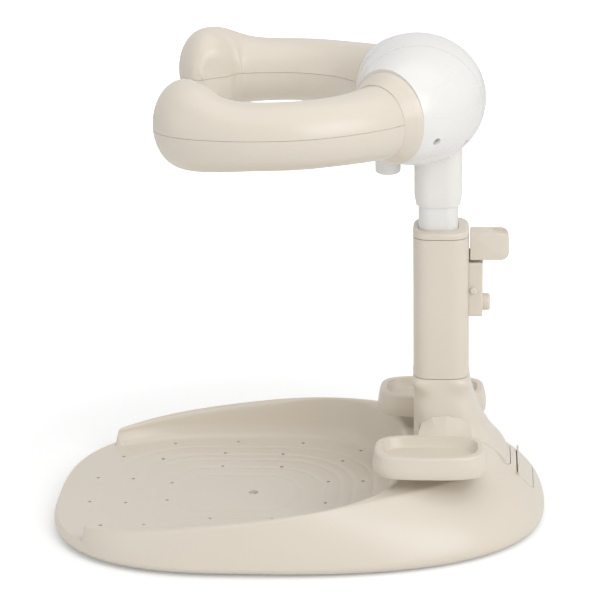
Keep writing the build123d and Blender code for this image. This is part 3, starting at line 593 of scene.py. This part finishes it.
def tub_points(sizes):
    """Rings of points of the whole tub, from the skirt in to the middle of the floor."""
    angles = column_angles()
    columns = np.array([tub_column(a, sizes) for a in angles])
    reach, z = columns[..., 0], columns[..., 1]
    angle = angles[:, None]
    x, y = reach * np.cos(angle), TUB_MID_Y + reach * np.sin(angle)
    # The open front keeps only a lip, and the walls stop in rounded ends
    lip = np.where(z > BELLY_Z, smooth_min(outer_height(angle, reach), np.full(z.shape, FLOOR_Z),
                                           sizes[2]), z)
    lip = np.minimum(lip, z)
    end_cap = lip + smooth_max(wall_end(x, y), np.zeros(z.shape), 3.0)
    near_end = y < WALL_END_Y + WALL_END_LENGTH
    z = np.where(near_end, np.maximum(lip, smooth_min(z, end_cap, 2.0)), z)
    # The neck flares up from the rear deck
    neck = neck_height(x, y)
    z = np.where(neck > 35, smooth_max(z, neck, 5.0), z)
    # Shallow rings in the floor
    on_floor = (np.abs(z - FLOOR_Z) < 0.01) & (reach < pocket_radius(angle, 0.0))
    z = np.where(on_floor, z + ring_relief(x, y, sizes[3]), z)
    return np.stack([x, y, z], axis=-1).transpose(1, 0, 2)


def tub_mesh(sizes):
    rings = tub_points(sizes)
    skirt = rings[0].copy()
    inner = skirt.copy()
    inner[:, 0] *= 0.975
    inner[:, 1] = TUB_MID_Y + (inner[:, 1] - TUB_MID_Y) * 0.975
    under = inner.copy()
    under[:, 2] = 9.3
    return grid_mesh("tub", np.concatenate([[under], [inner], rings]))


class BATHSEAT_OT_tub(bpy.types.Operator):
    """Build the tub with its rounded wall, open front, neck flare and drained floor"""
    bl_idname = "bathseat.tub"
    bl_label = "Tub"

    def execute(self, context):
        given = context.scene.bath_seat_sizes
        sizes = [given.wall_rounding / MM, given.inner_rounding / MM, given.lip_rounding / MM,
                 given.ring_depth / MM]
        mesh = tub_mesh(sizes)
        outward(mesh)
        tub = new_piece("tub", mesh, beige_satin(context.scene))
        neck = rounded_outline(NECK_CUT, [0, 9, 9, 9, 9, 0])
        behind = [(x, max(y, NECK_STEP_Y)) for x, y in neck]
        ahead = [(x, min(y, NECK_STEP_Y + 1)) for x, y in neck]
        hatch = rounded_outline(HATCH_CUT, HATCH_CORNER)
        cutters = [
            place_cutter(prism("neck_low", behind, 42, 160)),
            place_cutter(prism("neck_high", ahead, 66, 160)),
            place_cutter(prism("hatch", hatch, 24, 80)),
            drain_cutter(context, given.drain_diameter, given.outlet_diameter),
        ]
        carve(tub, cutters)
        tub.data.polygons.foreach_set("use_smooth", [True] * len(tub.data.polygons))
        tub.data.set_sharp_from_angle(angle=radians(35))
        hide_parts("base_shell")
        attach(tub, "base")
        return {"FINISHED"}


def drain_tree(material):
    """Geometry nodes: one round cutter on every given point."""
    tree = bpy.data.node_groups.new("Drain Holes", "GeometryNodeTree")
    face = tree.interface
    face.new_socket("Geometry", in_out="INPUT", socket_type="NodeSocketGeometry")
    face.new_socket("Diameter", in_out="INPUT", socket_type="NodeSocketFloat")
    face.new_socket("Depth", in_out="INPUT", socket_type="NodeSocketFloat")
    face.new_socket("Geometry", in_out="OUTPUT", socket_type="NodeSocketGeometry")
    link = tree.links.new
    given = add_node(tree, "NodeGroupInput", (-600, 0))
    half = add_node(tree, "ShaderNodeMath", (-400, -150), operation="MULTIPLY")
    half.inputs[1].default_value = 0.5
    tool = add_node(tree, "GeometryNodeMeshCylinder", (-200, -150))
    tool.inputs["Vertices"].default_value = 24
    spots = add_node(tree, "GeometryNodeMeshToPoints", (-200, 100))
    place = add_node(tree, "GeometryNodeInstanceOnPoints", (0, 0))
    real = add_node(tree, "GeometryNodeRealizeInstances", (200, 0))
    paint = add_node(tree, "GeometryNodeSetMaterial", (400, 0))
    paint.inputs["Material"].default_value = material
    result = add_node(tree, "NodeGroupOutput", (600, 0))
    link(given.outputs["Geometry"], spots.inputs["Mesh"])
    link(given.outputs["Diameter"], half.inputs[0])
    link(half.outputs[0], tool.inputs["Radius"])
    link(given.outputs["Depth"], tool.inputs["Depth"])
    link(spots.outputs["Points"], place.inputs["Points"])
    link(tool.outputs["Mesh"], place.inputs["Instance"])
    link(place.outputs["Instances"], real.inputs["Geometry"])
    link(real.outputs["Geometry"], paint.inputs["Geometry"])
    link(paint.outputs["Geometry"], result.inputs["Geometry"])
    return tree


def socket_id(tree, name):
    return next(s.identifier for s in tree.interface.items_tree
                if s.name == name and s.in_out == "INPUT")


def drain_cutter(context, small, large):
    """The cutter of all drain holes, baked from the geometry nodes to a plain mesh."""
    material = beige_satin(context.scene)
    meshes = []
    for spots, size in (([(s * x, y) for x, y in DRAIN_HOLES for s in (-1, 1)], small),
                        ([(0.0, OUTLET_Y)], large)):
        mesh = bpy.data.meshes.new("drain_spots")
        mesh.from_pydata([(x * MM, y * MM, DRAIN_MID_Z * MM) for x, y in spots], [], [])
        holder = new_piece("drain_spots", mesh, material)
        tree = drain_tree(material)
        nodes = holder.modifiers.new("Drain Holes", "NODES")
        nodes.node_group = tree
        nodes[socket_id(tree, "Diameter")] = size
        nodes[socket_id(tree, "Depth")] = DRAIN_DEPTH * MM
        evaluated = holder.evaluated_get(context.evaluated_depsgraph_get())
        meshes.append(bpy.data.meshes.new_from_object(evaluated))
        bpy.data.objects.remove(holder)
    work = bmesh.new()
    for mesh in meshes:
        work.from_mesh(mesh)
    merged = bpy.data.meshes.new("drain_cutter")
    work.to_mesh(merged)
    work.free()
    return new_piece("drain_cutter", merged, material)


class BATHSEAT_OT_column(bpy.types.Operator):
    """Finish the neck, the rear flap, the column and its height latch"""
    bl_idname = "bathseat.column"
    bl_label = "Neck, Column and Latch"

    def execute(self, context):
        dress(["neck_cover", "release_hatch", "hatch_pin", "column_shell", "column_cap",
               "column_flange", "guide_bush", "latch_housing", "housing_pin", "lock_button",
               "lever_pin", "clamp_shoe", "bottom_cover", "tray_right", "tray_left"],
              beige_satin(context.scene))
        return {"FINISHED"}


class BATHSEAT_OT_lever(bpy.types.Operator):
    """Build the height lever with its rounded end and thumb scoop"""
    bl_idname = "bathseat.lever"
    bl_label = "Height Lever"

    def execute(self, context):
        rounding = context.scene.bath_seat_sizes.lever_rounding / MM
        corners = [(LEVER_FRONT_Y, LEVER_BOTTOM_Z), (LEVER_REAR_Y, LEVER_BOTTOM_Z),
                   (LEVER_REAR_Y, LEVER_TOP_Z), (LEVER_FRONT_Y, LEVER_TOP_Z)]
        profile = rounded_outline(corners, [1.4, rounding, rounding, 1.0])
        mesh = crosswise("lever", profile, LEVER_HALF_WIDTH)
        lever = new_piece("lever", mesh, beige_satin(context.scene))
        edge = lever.modifiers.new("Edge", "BEVEL")
        edge.width, edge.segments = LEVER_EDGE * MM, 3
        edge.limit_method, edge.angle_limit = "ANGLE", radians(60)
        scoop = circle_outline(SCOOP, SCOOP_RADIUS, 64)
        bore = circle_outline(PIVOT, BORE_RADIUS, 24)
        slot = [(160, 250), (SLOT_REAR_Y, 250), (SLOT_REAR_Y, SLOT_TOP_Z), (160, SLOT_TOP_Z)]
        cutters = [place_cutter(crosswise("scoop", scoop, SCOOP_HALF_WIDTH)),
                   place_cutter(crosswise("bore", bore, BORE_HALF_WIDTH)),
                   place_cutter(crosswise("slot", slot, SLOT_HALF_WIDTH))]
        carve(lever, cutters)
        flat = [max(abs(c) for c in face.normal) > 0.9999 for face in lever.data.polygons]
        lever.data.polygons.foreach_set("use_smooth", [not f for f in flat])
        lever.data.set_sharp_from_angle(angle=radians(35))
        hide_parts("height_lever")
        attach(lever, "lever")
        return {"FINISHED"}


class BATHSEAT_OT_post(bpy.types.Operator):
    """Finish the post, the head and the knob under it"""
    bl_idname = "bathseat.post"
    bl_label = "Post and Head"

    def execute(self, context):
        dress(["inner_tube", "head_band", "head_shell_right", "head_shell_left", "head_core",
               "arm_release_button", "lock_plate"], white_gloss(context.scene))
        dress(["upper_sleeve"], cream_satin(context.scene))
        dress(["collar_right", "collar_left"], beige_satin(context.scene))
        return {"FINISHED"}


class BATHSEAT_OT_arms(bpy.types.Operator):
    """Finish the two arms"""
    bl_idname = "bathseat.arms"
    bl_label = "Arms"

    def execute(self, context):
        for side in ("right", "left"):
            dress([f"arm_upper_{side}", f"arm_lower_{side}", f"arm_hub_{side}"],
                  beige_satin(context.scene))
        return {"FINISHED"}


class BATHSEAT_OT_hardware(bpy.types.Operator):
    """Finish the suction cups, screws and springs"""
    bl_idname = "bathseat.hardware"
    bl_label = "Cups, Screws and Springs"

    def execute(self, context):
        dress(["suction_cups"], soft_rubber(context.scene))
        dress(["bottom_screws", "head_screws", "arm_screws_right", "arm_screws_left",
               "button_spring", "release_spring"],
              plain_steel(context.scene))
        return {"FINISHED"}


def white_to_camera(tree, surface, strength):
    """Show plain white to the camera and in reflections, and the given surface to the light."""
    link = tree.links.new
    path = add_node(tree, "ShaderNodeLightPath", (-400, 300))
    seen = add_node(tree, "ShaderNodeMath", (-200, 300), operation="MAXIMUM")
    both = add_node(tree, "ShaderNodeMath", (-50, 300), operation="MAXIMUM")
    link(path.outputs["Is Camera Ray"], seen.inputs[0])
    link(path.outputs["Is Glossy Ray"], seen.inputs[1])
    link(seen.outputs[0], both.inputs[0])
    link(path.outputs["Is Transmission Ray"], both.inputs[1])
    plain = add_node(tree, "ShaderNodeBackground", (0, 100))
    plain.inputs["Strength"].default_value = strength
    mix = add_node(tree, "ShaderNodeMixShader", (250, 100))
    link(both.outputs[0], mix.inputs[0])
    link(surface, mix.inputs[1])
    link(plain.outputs[0], mix.inputs[2])
    return mix.outputs[0]


def ground_material(colour):
    """A matt pale floor that reads as white but keeps the object's shadow."""
    material = bpy.data.materials.new("studio_floor")
    material.use_nodes = True
    tree = material.node_tree
    tree.nodes.clear()
    link = tree.links.new
    surface = add_node(tree, "ShaderNodeGroup", (-700, 0))
    surface.node_tree = moulded_surface_group()
    for label, value in (("Colour", (*colour, 1)), ("Drift", 0.004), ("Roughness", 0.9),
                         ("Grain Height", 0.0)):
        surface.inputs[label].default_value = value
    matt = add_node(tree, "ShaderNodeBsdfDiffuse", (-300, 0))
    glow = add_node(tree, "ShaderNodeEmission", (-300, -200))
    path = add_node(tree, "ShaderNodeLightPath", (-500, -300))
    place = add_node(tree, "ShaderNodeTexCoord", (-1100, -500))
    span = add_node(tree, "ShaderNodeVectorMath", (-900, -500), operation="LENGTH")
    fade = add_node(tree, "ShaderNodeMapRange", (-700, -500), interpolation_type="SMOOTHSTEP")
    for label, value in (("From Min", 0.3), ("From Max", 0.85), ("To Min", 0.2), ("To Max", 1.0)):
        fade.inputs[label].default_value = value
    amount = add_node(tree, "ShaderNodeMath", (-300, -400), operation="MULTIPLY")
    total = add_node(tree, "ShaderNodeAddShader", (0, 0))
    result = add_node(tree, "ShaderNodeOutputMaterial", (250, 0))
    link(surface.outputs["Colour"], matt.inputs["Color"])
    link(place.outputs["Object"], span.inputs[0])
    link(span.outputs["Value"], fade.inputs["Value"])
    link(path.outputs["Is Camera Ray"], amount.inputs[0])
    link(fade.outputs["Result"], amount.inputs[1])
    link(amount.outputs[0], glow.inputs["Strength"])
    link(matt.outputs[0], total.inputs[0])
    link(glow.outputs[0], total.inputs[1])
    link(total.outputs[0], result.inputs["Surface"])
    return material


def area_light(name, place, target, size, power):
    data = bpy.data.lights.new(name, "AREA")
    data.shape = "RECTANGLE"
    data.size, data.size_y = size
    data.energy = power
    lamp = bpy.data.objects.new(name, data)
    bpy.context.scene.collection.objects.link(lamp)
    lamp.location = place
    lamp.rotation_euler = (Vector(target) - Vector(place)).to_track_quat("-Z", "Y").to_euler()
    return lamp


class BATHSEAT_OT_stage(bpy.types.Operator):
    """Set the plain floor, the soft lights and the camera"""
    bl_idname = "bathseat.stage"
    bl_label = "Stage, Lights and Camera"

    def execute(self, context):
        scene = context.scene
        scene.view_settings.view_transform = "Standard"
        work = bmesh.new()
        bmesh.ops.create_circle(work, cap_ends=True, segments=96, radius=6.0)
        mesh = bpy.data.meshes.new("floor")
        work.to_mesh(mesh)
        work.free()
        floor = new_piece("floor", mesh, ground_material(scene.bath_seat_colours.ground))
        world = bpy.data.worlds.new("studio")
        scene.world = world
        world.use_nodes = True
        tree = world.node_tree
        tree.nodes.clear()
        lit = add_node(tree, "ShaderNodeBackground", (0, -100))
        lit.inputs["Color"].default_value = (1, 1, 1, 1)
        lit.inputs["Strength"].default_value = 0.55
        seen = white_to_camera(tree, lit.outputs[0], 1.0)
        result = add_node(tree, "ShaderNodeOutputWorld", (500, 0))
        tree.links.new(seen, result.inputs["Surface"])
        area_light("overhead", (0.2, 0.3, 2.2), (0, 0, 0.1), (2.4, 2.4), 13.5)
        area_light("right_key", (1.6, 1.6, 1.5), (0, 0, 0.2), (1.6, 1.6), 23)
        area_light("left_fill", (1.3, -1.8, 0.8), (0, 0, 0.2), (1.4, 1.4), 5)
        data = bpy.data.cameras.new("camera")
        data.lens = 148.8
        data.sensor_width = 36.0
        data.clip_end = 50
        camera = bpy.data.objects.new("camera", data)
        scene.collection.objects.link(camera)
        place = Vector(CAMERA_PLACE)
        back = (place - Vector(CAMERA_TARGET)).normalized()
        level = Vector((0, 0, 1)).cross(back).normalized()
        upright = back.cross(level)
        turn = radians(CAMERA_ROLL)
        right = level * cos(turn) - upright * sin(turn)
        up = level * sin(turn) + upright * cos(turn)
        facing = Matrix((right, up, back)).transposed().to_4x4()
        camera.matrix_world = Matrix.Translation(place) @ facing
        scene.camera = camera
        return {"FINISHED"}


class BATHSEAT_PT_panel(bpy.types.Panel):
    """Sizes, colours and building steps of the bath seat"""
    bl_label = "Bath Seat"
    bl_idname = "BATHSEAT_PT_panel"
    bl_space_type = "VIEW_3D"
    bl_region_type = "UI"
    bl_category = "Bath Seat"

    def draw(self, context):
        layout = self.layout
        for group in (context.scene.bath_seat_sizes, context.scene.bath_seat_colours):
            for name in group.__annotations__:
                layout.prop(group, name)
        for operator in OPERATORS:
            layout.operator(operator.bl_idname)


OPERATORS = (BATHSEAT_OT_stage, BATHSEAT_OT_tub, BATHSEAT_OT_column, BATHSEAT_OT_lever,
             BATHSEAT_OT_post, BATHSEAT_OT_arms, BATHSEAT_OT_hardware)
CLASSES = (BathSeatSizes, BathSeatColours) + OPERATORS + (BATHSEAT_PT_panel,)


def register():
    for cls in CLASSES:
        bpy.utils.register_class(cls)
    bpy.types.Scene.bath_seat_sizes = PointerProperty(type=BathSeatSizes)
    bpy.types.Scene.bath_seat_colours = PointerProperty(type=BathSeatColours)


def unregister():
    del bpy.types.Scene.bath_seat_sizes
    del bpy.types.Scene.bath_seat_colours
    for cls in reversed(CLASSES):
        bpy.utils.unregister_class(cls)


def main():
    register()
    bpy.ops.bathseat.stage()
    bpy.ops.bathseat.tub()
    bpy.ops.bathseat.column()
    bpy.ops.bathseat.lever()
    bpy.ops.bathseat.post()
    bpy.ops.bathseat.arms()
    bpy.ops.bathseat.hardware()


if __name__ == "__main__":
    main()
